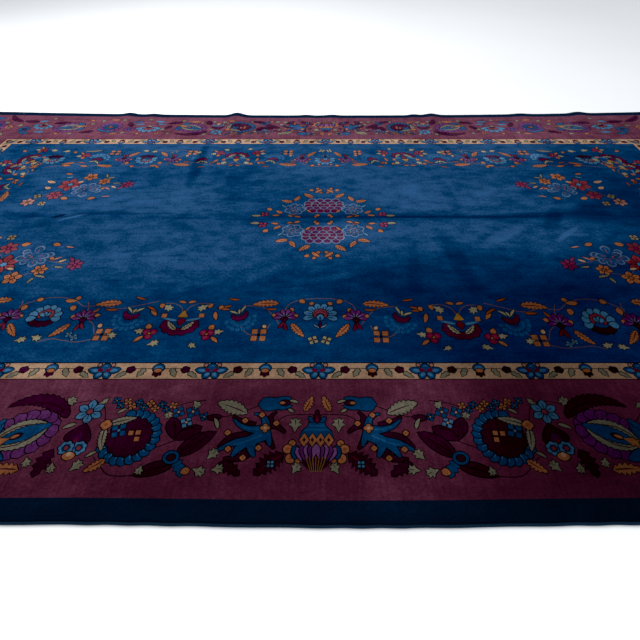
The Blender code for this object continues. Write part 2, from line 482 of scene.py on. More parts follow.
def within(place, x, y, reach_x, reach_y, turn=0.0, core=0.0):
    """0 in the core of an oval patch, 1 round it."""
    patch = place.node("Mapping", {"vector_type": "TEXTURE"}, {
        "Vector": place, "Location": (x, y, 0), "Rotation": (0, 0, turn), "Scale": (reach_x, reach_y, 1)})
    return patch.node("VectorMath", {"operation": "LENGTH"}, {0: patch}, 1).band(core, 1.0)


def painted_sheen_and_shade(place):
    """Painted sheen and shade on the pile: darker towards the front and the right, lighter and darker in
    patches where the pile leans, and painted shade and highlights along the folds.
    """
    stray = place.node("TexNoise", {}, {"Vector": place, "Scale": 3.2, "Detail": 3.0}, 1)
    near = place.node("VectorMath", {"operation": "MULTIPLY_ADD"}, {0: stray, 1: (*STRAY, 0), 2: place})
    bright = 0.93
    for x, y, reach_x, reach_y, middle in PAINTED_SHEEN_PATCHES:
        patch = within(near, x + STRAY[0] / 2, y + STRAY[1] / 2, reach_x, reach_y)
        bright = bright * (patch * (1 - middle) + middle)
    for *oval, middle in PAINTED_FOLD_SHADE_AND_HIGHLIGHTS:
        bright = bright * (within(place, *oval, core=FOLD_CORE) * (1 - middle) + middle)
    return bright


def cut_pile(name, rows, warps=0.0, depth=0.05, mottle=0.9):
    """Cut pile: the knotted colours under painted sheen and shade, mottled at random, in dye lots along the
    rows. Where the painted shade darkens it, depth times the shortfall is first taken from every colour
    alike, which deepens the painted shade most in the dark colours."""
    made, shader, start, place = finish_of(name, {"Roughness": 0.95, "Specular IOR Level": 0.0})
    yarn = start.node("Attribute", {"attribute_name": "yarn"}, {}, "Color")
    patches = speckle(place, (0.55, 1.5, 1), 1.9, 3.0)
    blotches = speckle(place, (0.7, 1.2, 1), 15, 3.0, 0.6)
    streaks = speckle(place, (0.8, 9, 1), 6.0, 4.0, 0.6)
    sweeps = speckle(place, (1.1, 4.5, 1), 2.6, 5.0, 0.65, 0.35)
    creased = sum((1 - within(place, *wrinkle[:5])) * wrinkle[5] for wrinkle in WRINKLES)
    lines = speckle(place, (14, 0.7, 1), 6.0, 4.0, 0.6)
    tufts = speckle(place, (1, 1.4, 1), 115, 3.0, 0.7)
    # shade: the painted sheen and shade of the pile and its folds, times random tone
    shade = painted_sheen_and_shade(place) * (patches * 0.8 + 0.6)
    for grain, amount in ((blotches, mottle), (streaks, rows), (sweeps, mottle * 0.5), (lines, warps)):
        shade = shade * (grain * amount + (1 - amount / 2))
    shade = shade * (tufts * 1.35 + 0.325)
    # painted shade: where the pile is painted darker than full, a share of depth is taken from every colour
    painted_shade_crush = shade.math("MAXIMUM", 1 - shade, 0.0) * depth
    wire(shader, yarn.colour("SUBTRACT", painted_shade_crush.grey()).colour("MULTIPLY", shade.grey()), 1.0 - patches * 0.1,
         [(tufts, 0.0015), (streaks, 0.0012), (creased, 1.0)])
    return made


def knot(name, ground, inside, outside, shapes, finish, sides=ALL_ROUND, rim=0.0):
    """Knots a band of pile: the motifs that touch it in a quarter, mirrored."""
    fine = 0.0125 if rim else 0.02
    outline = [(ground, quarter(*inside, *outside, fine))]
    rounds = [(ground, quarter(*inside, outside[0] - by, outside[1] - by, fine))
              for by in (rim * 0.3, rim) if rim]
    low, high = box(outline[0][1])[0], outside

    def touches(line):
        near, far = box(line)
        return far[0] > low[0] and far[1] > low[1] and near[0] < high[0] and near[1] < high[1]

    def relief(face, faces, yarns):
        """How far each point of the face is clipped down: the mean of the faces round it."""
        corners, points = faces.ravel(), len(face)
        sunk = np.repeat([LINE_SINK * (yarn == "outline") for yarn in yarns], 3)
        worn = np.bincount(corners, sunk, points) / np.maximum(np.bincount(corners, minlength=points), 1)
        if rim:
            edge = np.minimum(outside[0] - abs(face[:, 0]), outside[1] - abs(face[:, 1]))
            worn += RIM_DROP * np.maximum(0, 1 - edge / rim) ** 2
        return worn

    face = outline + rounds + [shape for shape in shapes if touches(shape[1])]
    return sheet(name, face, outline, PILE_TOP, PILE_FOOT, finish, inside, outside, sides, relief)


LONGER = 1.2  # the pattern is this much longer than it is wide, from the middle to the edge


def petal(length, width, peak=0.5, tip=0.8, bend=0.0, teeth=0, n=7, bite=0.5):
    """A petal or leaf from 0 along +x, widest at peak; teeth cut its sides, pointing forwards."""
    steps = [i / n for i in range(n + 1)]
    if teeth:
        steps = [0.0] + [(k + share) / (teeth + 0.6) for k in range(teeth) for share in (0.3, 1.0)] + [1.0]
    left, right = [], []
    for i, t in enumerate(steps):
        turn = exp(1j * bend * t)
        along = length * (turn - 1) / (1j * bend) if bend else length * t
        half = width / 2 * sin(pi * min(t, 0.9999) ** (log(0.5) / log(peak))) ** tip
        half *= 1 - bite if teeth and i % 2 else 1
        left.append(along + 1j * turn * half)
        right.append(along - 1j * turn * half)
    return right + left[-2:0:-1]


def disc(r, lobes=0, depth=0.2, flat=1.0, n=12):
    """A round, or a round of scallops; flat squeezes it across."""
    n = max(n, 4 * lobes)
    rays = [2 * pi * i / n for i in range(n)]
    return [r * (1 - depth * (lobes > 0) * (1 - abs(cos(lobes * a / 2)))) * complex(cos(a), flat * sin(a))
            for a in rays]


def arch(inner, outer, spread, lobes=0):
    """A crescent about 0, open towards -x, with scallops round its outside."""
    n = max(10, 4 * lobes)
    outside, inside = [], []
    for f in (i / n for i in range(n + 1)):
        deep = (outer - inner) * max(0.02, sin(pi * f)) ** 0.6
        deep *= 0.8 + 0.2 * abs(sin(lobes * pi * f)) if lobes else 1
        ray = exp(1j * spread * (f - 0.5))
        outside.append(ray * (inner + deep))
        inside.append(ray * inner)
    return outside + inside[-2:0:-1]


def stem(points, width, taper=0.7):
    """A ribbon curving through the points."""
    line = []
    ends = [points[0]] + list(points) + [points[-1]]
    for a, b, c, d in zip(ends, ends[1:], ends[2:], ends[3:]):
        for t in (0, 0.25, 0.5, 0.75):
            way = (c - a) * t + (2 * a - 5 * b + 4 * c - d) * t * t
            line.append(b + (way + (3 * b - a - 3 * c + d) * t ** 3) / 2)
    line.append(points[-1])
    left, right = [], []
    for i, p in enumerate(line):
        way = line[min(i + 1, len(line) - 1)] - line[max(i - 1, 0)]
        half = width / 2 * (1 - taper * i / len(line)) * 1j * way / abs(way)
        left.append(p + half)
        right.append(p - half)
    return right + left[::-1]


def both(*half):
    """An outline even about its own x axis."""
    return list(half) + [p.conjugate() for p in half[-2:0:-1]]


def grown(line, by=4.0):
    """A closed line moved outwards."""
    if runs_round(line) < 0:
        line = line[::-1]
    moved = []
    for before, here, after in zip(line[-1:] + line[:-1], line, line[1:] + line[:1]):
        way = sum((d / abs(d) for d in (here - before, after - here) if abs(d) > 1e-6), 0j)
        if abs(way) < 0.3:
            way = here - before
        moved.append(here - 1j * way / max(abs(way), 1e-6) * by)
    return moved


def put(shapes, at=0, turn=0.0, size=1.0):
    """The shapes moved to a place, turned by degrees and sized; below 0 they are flipped first."""
    way = abs(size) * exp(1j * radians(turn))
    return [(yarn, [at + way * (p.conjugate() if size < 0 else p) for p in line]) for yarn, line in shapes]


def ringed(shapes, count, start=0.0, spread=360.0, out=0.0, oval=1.0):
    """The shapes repeated round 0, their own 0 moved out along each ray."""
    step = spread / count if spread == 360.0 else spread / max(count - 1, 1)
    repeats = []
    for turn in (start + k * step for k in range(count)):
        ray = out * exp(1j * radians(turn))
        repeats += put(shapes, complex(ray.real, ray.imag * oval), turn)
    return repeats


def flipped(shapes):
    """The shapes mirrored from side to side."""
    return [(yarn, [-p.conjugate() for p in line]) for yarn, line in shapes]


def joined(shapes):
    """Shapes in one dark line: a line round them all first, and then each without its own."""
    return [("_outline", grown(line)) for _, line in shapes] + [("_" + yarn, line) for yarn, line in shapes]


def leaf(yarn, length, width, bend=0.0, teeth=0, rib=None, peak=0.45, bite=0.5):
    """A leaf from 0 along +x, with a rib if its yarn is given."""
    shapes = [(yarn, petal(length, width, peak, 0.75, bend, teeth, bite=bite))]
    return shapes + ([("_" + rib, petal(length * 0.86, 4.5, 0.3, 0.5, bend, n=4))] if rib else [])


def bud(yarn, r):
    """A small pointed bud."""
    return [(yarn, petal(2.3 * r, 1.8 * r, 0.42, 0.65, n=5))]


def squares(r, yarn, heart):
    """Four small squares about a dot."""
    block = [complex(a, b) * r * 0.33 for a, b in ((-1, -1), (1, -1), (1, 1), (-1, 1))]
    shapes = [(yarn, [p + complex(a, b) * r * 0.5 for p in block]) for a in (-1, 1) for b in (-1, 1)]
    return shapes + [("_" + heart, disc(r * 0.2, n=6))]


def placed(table):
    """The rows of a table as closed lines in metres, each motif over its own dark line."""
    shapes = []
    for motif, *row in table:
        if isinstance(motif, str):
            shapes += [("_" + motif, stem(row[:-1], row[-1], 0))]
            continue
        u, v, *rest = row
        shapes += put(motif() if callable(motif) else motif, complex(u, v), *rest)
    lines = []
    for yarn, line in shapes:
        if yarn[0] != "_":
            lines.append(("outline", [p / 1000 for p in grown(line)]))
        lines.append((yarn.strip("_"), [p / 1000 for p in line]))
    return lines


def turned_corner(lines):
    """The same motifs on the short side, turned about the corner's diagonal."""
    return [(yarn, [1j * p.conjugate() + LONGER for p in line]) for yarn, line in lines]


def first(table, limit):
    """The rows of a table that start before the limit in u, for the short sides."""
    return [row for row in table if complex(row[1]).real < limit]


# small motifs, in millimetres
ORANGE = leaf("orange", 60, 22, 0.3)
ORANGE_CUT = leaf("orange", 90, 34, 0.35, 6, "rust_dark")
ORANGE_BUD = bud("orange", 11)
RUST = leaf("rust", 55, 10, -0.4)
CREAM = leaf("cream", 55, 22, 0.3)
PINK = leaf("pink", 60, 13, 0.3)
PALE_BLUE = leaf("light_blue", 55, 18, 0.5)
SAGE_CUT = [("straw", both(0, 10 + 6j, 6 + 16j, 20 + 10j, 28 + 18j, 34 + 7j, 54))]


def lotus():
    """Open lotus in profile: a fan of blue petals round a coral arch, on a small foot."""
    ray = [("light_blue", petal(50, 26, 0.62, 0.6, n=6)), ("_mid_blue", petal(34, 7, 0.6, n=4))]
    shapes = put([("lavender", arch(30, 37, 2.2)), ("maroon", petal(38, 9, n=4))], 28j, 90)
    shapes += ringed(ray, 8, -192, 204, 24)
    shapes += put([("coral", arch(18, 42, 3.7, 7)), ("_maroon", arch(28, 32, 3.3))], 2j, -90)
    foot = [("light_blue", petal(36, 30, 0.5, 0.7)), ("_blue", petal(22, 12, 0.5, 0.7, n=5))]
    return shapes + put(foot, 26j, -90)


def iris():
    """Ragged crown of purple petals, with orange tips, a maroon throat and two long coral falls."""
    falls = [("coral_dark", petal(66, 12, 0.7, 0.8, 0.5)), ("coral_dark", petal(60, 13, 0.7, 0.8, -0.7))]
    shapes = put(falls, 6j, 86)
    shapes += [("orange", [p + x for p in disc(10, n=5)]) for x in (-46 - 8j, 46 - 12j, -16 - 36j)]
    ray = [("purple", petal(50, 17, 0.7, 0.6, n=5)), ("_lavender", petal(30, 3, n=3))]
    shapes += ringed(ray, 6, -184, 188)
    return shapes + put([("maroon", arch(4, 24, 3.0, 3))], 2, 90)


def mum(tone):
    """Chrysanthemum in profile: blue petals over a ragged wine calyx, a forked sprout of straw below."""
    shapes = []
    for long, wide, vein, *ring in ((24, 19, 15, 9, 4, 172, 46), (22, 17, 13, 7, 14, 152, 24)):
        ray = [("_" + tone, petal(long, wide, 0.6, 0.6, n=5)), ("_blue", petal(vein, 4, n=3))]
        shapes += ringed(ray, *ring)
    shapes += put([("wine", arch(30, 56, 2.4, 6))], -46j, 90)
    for turn, long in ((-50, 50), (-122, 56), (-92, 30)):
        shapes += put([("straw", petal(long, 10, 0.6, 0.8, 0.35 if turn > -90 else -0.35, n=5))], -26j, turn)
    return shapes


def three_lobed():
    """Small magenta flower, with its bud and leaves."""
    shapes = put(ORANGE_BUD, 8 - 22j, -70, 1.2) + put(SAGE_CUT, 26 - 8j, -12, 0.8)
    shapes += put(ORANGE, 20 + 14j, 34, 0.7)
    shapes += ringed([("magenta", disc(15, n=9)), ("_coral", disc(6, n=7))], 3, 90, out=15)
    return shapes + [("gold", disc(5, n=7))]


def ragged(yarn, crescent, at, wide, low):
    """A scalloped crescent opening downwards, pulled wide and pressed low."""
    [(_, line)] = put([(yarn, crescent)], at, 90)
    return [(yarn, [complex(p.real * wide, p.imag * low) for p in line])]


def wreath():
    """Half wreath: a deep scalloped wine crescent, two ragged leaves in it and a coral heart below."""
    side = put(leaf("straw", 62, 24, -0.6, 4, "maroon"), 10 + 34j, -28)
    side += put([("_light_blue", petal(80, 12, 0.35, 0.8, -0.4, n=5))], 14 - 14j, -4)
    side += put([("orange", disc(15, n=4))], 78 - 42j, 45) + put(SAGE_CUT, 54 - 74j, -35)
    side += put(ORANGE, 4 - 116j, -22, 0.6)
    side += [("_twig", stem((6 - 62j, 20 - 92j, 60 - 112j, 116 - 108j), 3, 0))]
    shapes = ragged("wine", arch(44, 88, 3.6, 8), -12j, 1.16, 0.86) + side + flipped(side)
    shapes += put([("coral_dark", both(-6, 6 + 16j, 18 + 14j, 36))], -22j, 90)
    return shapes + put([("gold", both(0, 4 + 22j, 40))], -32j, -90)


def peony():
    """Great peony: blue petals standing round a coral arch, over a broad ragged maroon base."""
    shapes = ragged("maroon", arch(34, 72, 2.5, 7), 0, 1.2, 0.8)
    shapes += ringed([("light_blue", petal(42, 32, 0.6, 0.55, n=6))], 8, -192, 204, 32, 0.9)
    shapes += put([("coral", arch(18, 44, 3.9, 5))], -4, -84)
    return shapes + ringed([("light_blue", petal(30, 17, 0.6, 0.6, n=5))], 3, -126, 84, 0)


VINE = [
    # motif, u, v, turn, size; or a stem's yarn, its points and width
    ("twig", 205 + 745j, 235 + 800j, 285 + 800j, 325 + 760j, 3),
    ("twig", 168 + 745j, 205 + 690j, 245 + 652j, 330 + 640j, 3),
    ("twig", 700 + 616j, 780 + 640j, 860 + 660j, 940 + 640j, 1010 + 646j, 1068 + 608j, 1145 + 592j,
     1220 + 604j, 1290 + 646j, 3),
    ("twig", 836 + 765j, 860 + 800j, 905 + 800j, 930 + 750j, 960 + 725j, 3),
    ("twig", 900 + 822j, 960 + 838j, 1020 + 830j, 1070 + 822j, 1120 + 838j, 3),
    ("twig", 985 + 690j, 990 + 650j, 1005 + 620j, 3),
    ("twig", 1292 + 690j, 1282 + 650j, 1290 + 612j, 3),
    ("twig", 150 + 680j, 140 + 640j, 100 + 612j, 40 + 600j, -40 + 600j, 3),
    ("twig", 1340 + 765j, 1362 + 800j, 1412 + 800j, 1440 + 750j, 3),
    ("twig", 1440 + 620j, 1520 + 610j, 1600 + 640j, 1680 + 610j, 1760 + 592j, 3),
    (lotus, 0, 700, 0),
    (squares(20, "straw", "rust"), 26, 828, 20),
    (ORANGE_BUD, 50, 632, 200, 0.9),
    (ORANGE_BUD, 92, 606, 140, 1.2),
    (ORANGE_BUD, 118, 655, 60),
    (iris, 148, 708, 0),
    (ORANGE_CUT, 118, 740, 118),
    (squares(35, "orange", "outline"), 246, 802, 0),
    (bud("cream", 9), 222, 766, -55),
    (ORANGE_CUT, 180, 628, -6, 1.25),
    (RUST, 185, 660, 12, 0.9),
    (mum("soft_blue"), 332, 716, 18),
    (RUST, 352, 606, 2, 0.9),
    (RUST, 380, 640, 24),
    (RUST, 385, 662, 4),
    (ORANGE, 444, 676, 96, 0.8),
    (ORANGE_BUD, 420, 640, 70),
    (ORANGE_BUD, 470, 628, 80, 1.1),
    (three_lobed, 456, 798, 180, -1),
    (SAGE_CUT, 516, 846, 150, 0.7),
    (wreath, 576, 740, 0),
    # from here on only on the long sides
    (SAGE_CUT, 636, 836, 20, 0.9),
    (three_lobed, 688, 794, 0),
    (ORANGE_BUD, 681, 628, 100, 1.1),
    (ORANGE, 716, 660, 118, 0.8),
    (RUST, 742, 646, 160),
    (RUST, 760, 604, -8, 0.9),
    (mum("soft_blue"), 798, 712, -12),
    (SAGE_CUT, 818, 812, -24, 0.9),
    (squares(35, "orange", "outline"), 876, 800, 0),
    (bud("cream", 10), 900, 764, -80),
    (ORANGE_CUT, 856, 626, -4, 1.25),
    (RUST, 860, 664, 10),
    (RUST, 940, 655, 60),
    (iris, 988, 712, 180, -1),
    (ORANGE_BUD, 946, 700, 200, 0.9),
    (squares(15, "light_blue", "gold"), 984, 815, 30),
    (squares(13, "light_blue", "gold"), 1010, 800, 10),
    (ORANGE_BUD, 1046, 590, 30),
    (ORANGE_BUD, 1062, 640, 115, 1.3),
    (ORANGE_CUT, 1030, 742, 60, -1),
    (peony, 1155, 705, 0, 0.98),
    (ORANGE, 1108, 610, 170, 0.9),
    (ORANGE_BUD, 1205, 600, 20, 1.2),
    (SAGE_CUT, 1112, 824, -20, 0.9),
    (SAGE_CUT, 1168, 820, 15, 0.9),
    (ORANGE_CUT, 1280, 740, 120),
    (ORANGE_BUD, 1262, 636, 80, 1.3),
    (iris, 1300, 708, 0),
    (ORANGE_CUT, 1340, 606, 0, 1.2),
    (squares(35, "orange", "outline"), 1386, 800, 0),
    (mum("light_blue"), 1462, 712, 14),
    (leaf("sage", 110, 26, 0.4, 6, "rust_dark"), 1480, 838, -22),
    (ORANGE, 1495, 606, 0, 0.9),
    (RUST, 1530, 650, 20),
    (three_lobed, 1560, 760, 0),
    (ORANGE_CUT, 1598, 660, -30, 0.9),
    (ORANGE_BUD, 1640, 796, 40, 1.2),
    (peony, 1752, 705, 180, -0.98),
    (ORANGE, 1660, 612, 170, 0.9),
    (ORANGE, 1810, 606, 10, 0.9),
    (SAGE_CUT, 1690, 826, -10),
    (SAGE_CUT, 1780, 826, 20),
]
VINE_CORNER = [
    (wreath, 1905, 705, -45, 0.95),
    (ORANGE_CUT, 1815, 640, -70, 0.8),
    (ORANGE_BUD, 1985, 815, 40, 1.2),
    (three_lobed, 1870, 838, 20, 0.9),
    (three_lobed, 2035, 665, -110, -0.9),
]


def blossom(petals, r, tone, vein, heart):
    """Loose pointed petals, each with a vein, round a small heart."""
    ray = [(tone, petal(r * 0.86, 3.3 * r / petals, 0.55, 0.9, n=6))]
    ray += [("_" + vein, petal(r * 0.6, r * 0.1, n=3))]
    return ringed(ray, petals, 18, out=r * 0.14) + [(heart, disc(r * 0.22, 5))]


def cluster():
    """Loose spray of blue petals edged in lavender."""
    ray = [("_lavender", petal(46, 34, 0.6, 0.6)), ("_mid_blue", petal(39, 27, 0.6, 0.6))]
    ray += [("_rust", petal(30, 3, n=3))]
    shapes = []
    for at, turn, size in (
        # place, turn, size
        (-40 - 14j, 200, 1.0), (-36 + 16j, 150, 0.9), (42 + 20j, 20, 1.0),
        (46 - 14j, -25, 0.9), (10 - 26j, -80, 1.1), (-14 + 28j, 110, 1.0),
        (22 + 26j, 70, 0.9), (-12 - 6j, -170, 1.0), (16 + 2j, -10, 1.0),
    ):
        shapes += put(ray, at * 0.62, turn, size)
    return shapes + put([("_blue", disc(12, 5)), ("_rust", disc(5, n=6))], 12 + 6j)


SPRAY = [
    ("twig", 1660 + 180j, 1610 + 240j, 1560 + 300j, 1510 + 350j, 2.5),
    ("twig", 1490 + 360j, 1400 + 330j, 1320 + 340j, 1250 + 360j, 1190 + 372j, 2.5),
    ("twig", 1470 + 390j, 1430 + 440j, 1360 + 440j, 1318 + 415j, 2.5),
    (blossom(6, 40, "pink", "cream", "rust"), 1665, 175, 10),
    (blossom(4, 24, "sage", "rust", "gold"), 1640, 238, 0),
    (blossom(4, 24, "sage", "rust", "gold"), 1580, 160, 30),
    (leaf("cream", 44, 26, 0.2, 0, "rust"), 1604, 325, 20),
    (leaf("cream", 62, 26, 0.3, 0, "rust"), 1604, 396, 10),
    (blossom(6, 48, "coral", "magenta", "magenta"), 1548, 248, 30),
    (leaf("orange", 46, 30, 0.3, 0, "gold"), 1500, 222, 190),
    (blossom(6, 72, "red", "coral_dark", "light_blue"), 1507, 372, 14),
    (ORANGE, 1545, 500, 4, 0.8),
    (PALE_BLUE, 1525, 470, -35, 0.8),
    (CREAM, 1440, 408, -20, 0.7),
    (blossom(5, 44, "orange", "rust_dark", "rust"), 1418, 466, 36),
    (cluster, 1386, 312, -10, 1.25),
    (leaf("orange", 44, 26, 0.3, 0, "rust"), 1344, 208, 150),
    (blossom(6, 38, "orange", "rust_dark", "rust"), 1318, 410, 0),
    (leaf("sage", 40, 16, 0.3, 3), 1318, 464, 60),
    (leaf("sage", 56, 16, 0.3, 3), 1268, 462, -20),
    (PINK, 1300, 340, 200, 0.9),
    (ORANGE_BUD, 1310, 322, 160),
    (leaf("sage", 46, 15, 0.3, 3), 1262, 386, 165),
    (leaf("cream", 38, 18, 0.3, 3), 1258, 352, 200),
    (PINK, 1272, 232, 160, 0.8),
    (blossom(6, 40, "pink_red", "magenta", "magenta"), 1168, 374, 10),
    (leaf("pink_red", 44, 16, 0.3), 1186, 352, -60),
]


def peony_fan():
    """Rows of scale petals, wine and dark purple, edged in lavender and veined in coral."""
    shapes = []
    for out, count, reach, tone, edge in (
        # distance out, scales, half span, yarn, width of the pale edge
        (188, 4, 66, "purple_dark", 6), (160, 5, 88, "wine", 6), (134, 6, 88, "wine", 5),
        (108, 5, 78, "purple_dark", 5), (84, 4, 58, "wine", 4),
    ):
        scale = [("_lavender", disc(25, flat=0.95)), ("_" + tone, disc(25 - edge, flat=0.92))]
        scale += [("_coral", petal(24, 3, n=3))]
        for k in range(count):
            shapes += put(scale, complex(reach * (2 * k / (count - 1) - 1), out), 90)
    return shapes


def line_flower():
    """Side flower drawn in thin lavender lines on the blue."""
    ray = [("_lavender", petal(44, 34, 0.6, 0.6)), ("_blue", petal(39.5, 28, 0.6, 0.6))]
    heart = [("_lavender", disc(16, 6)), ("_blue", disc(13, 6)), ("_twig", disc(5, n=6))]
    return ringed(ray + [("_twig", petal(28, 5, n=3))], 7, 10, out=4) + heart


FAT_LEAF = leaf("orange", 68, 36, 0.3, 5, "rust_dark")

MEDALLION = [
    (line_flower, 158, 100, 20, 1.25),
    (PALE_BLUE, 206, 122, 30, 0.7),
    (peony_fan, 0, 0, 0),
    (FAT_LEAF, 176, 180, 4, 0.95),
    (FAT_LEAF, 168, 190, 130, -0.85),
    (FAT_LEAF, 62, 226, 30),
    (FAT_LEAF, 10, 272, 40, 0.6),
    (ORANGE, 52, 278, 130, 0.9),
    (ORANGE_BUD, 62, 302, 20, 1.1),
    (ORANGE_BUD, 34, 314, 60, 0.9),
    (ORANGE, 68, 70, 40, 0.6),
    (ORANGE_BUD, 20, 34, 10),
    (ORANGE_BUD, 36, 16, 40, 0.8),
    (ORANGE, 122, 20, 4, 0.6),
    (ORANGE, 164, 26, 8, 0.5),
    (RUST, 150, 40, 10, 0.5),
    (FAT_LEAF, 222, 58, 30, 0.7),
    (ORANGE, 236, 40, -16, 0.7),
    (ORANGE_BUD, 286, 92, 40, 1.3),
    (blossom(4, 24, "magenta", "pink", "purple"), 318, 48, 20),
    (leaf("sage", 52, 20, 0.3), 336, 34, -8),
]


field_wool = cut_pile("blue_field_wool", 0.4, mottle=1.0)
VINE_EDGE = 1.94, 0.572  # where the vine's own band of pile begins
vine = placed(VINE) + turned_corner(placed(first(VINE, 600))) + placed(VINE_CORNER)
knot("field_pile", "blue", (0, 0), VINE_EDGE, vine + placed(SPRAY) + placed(MEDALLION), field_wool)
knot("vine_pile", "blue", VINE_EDGE, FIELD_EDGE, vine, field_wool)


# --- The cream stripe ---------------------------------------------------------------------------
# A narrow band of cream pile between two fine dark lines, with a running vine of lilies, buds and
# round flowers. The same wool and height as the field, knotted in the same rows.

def stripe_half():
    """Half a repeat of the running vine, from the middle of a lily to the middle of a round flower."""
    shapes = [("_outline", stem((90 - 8j, 120 - 11j, 150 - 10j, 180 - 12j), 3, 0))]
    shapes += put([("sage", both(0, 8 + 9j, 20 + 6j, 24 + 9j, 42))], 84 + 6j, 147)
    shapes += put([("sage", both(0, 8 + 10j, 18 + 7j, 24 + 11j, 44))], 150 - 12j, 118)
    shapes += put([("maroon", disc(16, 5, flat=0.9))], 98 - 6j)
    low = [("mid_blue", petal(52, 28, 0.5, 0.65, 0.2)), ("_light_blue", petal(42, 14, 0.55, 0.7, 0.2, n=5))]
    high = [("mid_blue", petal(38, 27, 0.6, 0.55)), ("_light_blue", petal(30, 14, 0.6, 0.6, n=5))]
    shapes += put(low, 10 + 4j, -18) + put(high, 2 + 2j, 50)
    return shapes + put([("pink", disc(7, n=8))], 25 - 28j)


def stripe(repeats):
    """The vine in the cream stripe, in so many whole repeats from the middle, one from lily to lily."""
    length, middle = 400, 974j
    half = stripe_half()
    falls = [("_coral_dark", petal(26, 15, 0.5, 0.6, n=5))]
    lily = put([("mid_blue", disc(20, flat=0.9)), ("_light_blue", arch(8, 12, 2.2))], -14j, -90)
    lily += put(falls, 2 - 2j, -8) + put(falls, -2 - 2j, 188)
    rose = put([("mid_blue", arch(6, 30, 3.9)), ("_light_blue", arch(9, 22, 3.6))], -2j, -90)
    rose += put([("maroon", arch(2, 32, 3.3, 5)), ("orange", disc(9, n=8, flat=1.6))], -2j, 90)
    shapes = []
    for k in range(repeats + 1):
        at = length * k + middle
        shapes += put(half + flipped(half) + lily, at) + (put(rose, at + length / 2) if k < repeats else [])
    return shapes + put(rose, 2174 + middle, -45) * (repeats > 2)  # one in the corner


running = placed([(stripe(5), 0, 0)]) + turned_corner(placed([(stripe(2), 0, 0)]))
LINE = 0.004  # the fine dark line along each side of the stripe
cream = quarter(*(edge + LINE for edge in FIELD_EDGE), *(edge - LINE for edge in STRIPE_EDGE))
knot("stripe_pile", "outline", FIELD_EDGE, STRIPE_EDGE, [("cream", cream)] + running,
     cut_pile("cream_stripe_wool", 0.2))


# --- The plum border ----------------------------------------------------------------------------
# A wide band of plum pile filled with large flowers, saw-edged leaves and buds on fine dark stems,
# the same on all four sides. Dyed in the yarn and knotted in the same rows as the field.

# small motifs, in millimetres
SPRIG = [("sage", both(0, 6 + 6j, 3 + 14j, 14 + 9j, 18 + 17j, 25 + 7j, 40))]
SPRIG += [("_outline", petal(22, 2.5, n=3))]
THIN = leaf("sage", 50, 14, 0.5)
MAROON_CUT = leaf("maroon", 90, 50, 0.3, 5, "plum_dark")
FEATHER = leaf("maroon", 254, 56, 1.65, 12, "plum_dark", 0.4, 0.22)
BLUE_CUT = leaf("mid_blue", 70, 36, 0.5, 3)
PALE_CUT = leaf("light_blue", 80, 36, 0.5, 4, "mid_blue")
FLAME = leaf("orange", 80, 38, 0.3, 5, "maroon")


def berries(yarn, r, count, heart):
    """A ring of berries round a heart."""
    return ringed([(yarn, disc(r * 0.42, n=9))], count, 30, out=r * 0.62) + [(heart, disc(r * 0.3, n=8))]


def palmette():
    """Half of the lotus palmette on the middle line: a fan of purple petals over a zigzag of orange
    squares, narrowing to a blue foot."""
    shapes = []
    for at, r in ((79 + 30j, 11), (92 + 50j, 15), (81 + 82j, 16), (58 + 90j, 9)):
        shapes += put([("orange", disc(r)), ("_rust", disc(r * 0.4, n=7))], at)
    shapes += put([("blue", petal(50, 26, 0.5, 0.7))], 66 + 86j, -88)
    for k in range(4, -1, -1):
        ray = [("purple" if k % 2 else "lilac", petal(92, 26, 0.74, 0.5, n=6))]
        shapes += put(ray + [("_maroon", petal(58, 18, 0.55, n=4))], complex(4 * k, 122), -90 + 8 * k)
    shapes += [("_gold", stem((complex(5 * k, 126), complex(11 * k, 76)), 1.6, 0)) for k in range(4)]
    for x in (-13.5, 13.5, 40.5):
        shapes += put([("orange", [-26j, 16, 24j, -16]), ("_maroon", [-9j, 6, 9j, -6])], x + 18j)
    shapes += [
        ("mid_blue", [8j, 13.5 - 10j, 27 + 8j, 40 - 10j, 56 + 8j, 48 - 14j, 28 - 34j, 27 - 46j, -48j]),
        ("_soft_blue", [-36j, 27 - 36j, 30 - 31j, -31j]),
        ("_soft_blue", [-22j, 40 - 22j, 43 - 16j, -16j]),
    ]
    shapes += put([("mid_blue", petal(26, 14, 0.5, 0.7))], 12 - 48j, -50)
    bell = [("maroon", petal(52, 28, 0.35, 0.9, 0, 3)), ("_coral_dark", petal(30, 9, 0.35, n=5))]
    return shapes + put(bell, -44j, -90)


def lily():
    """Bell flower lying along +x, its lip at the far end in three tongues."""
    tongues = put([("mid_blue", petal(66, 20, 0.5, 0.7, 0.2))], 52 - 14j)
    tongues += put([("mid_blue", petal(64, 22, 0.5, 0.7, 0.3))], 50 + 16j)
    shapes = joined([("mid_blue", petal(96, 54, 0.36, 0.55))] + tongues)
    shapes += put(leaf("sage", 26, 10), 104 - 20j, -30)
    throat = [("maroon", petal(40, 22, 0.5, 0.7, n=5)), ("orange", petal(22, 12, 0.5, 0.7, n=5))]
    return shapes + put(throat, 72 + 4j, 2)


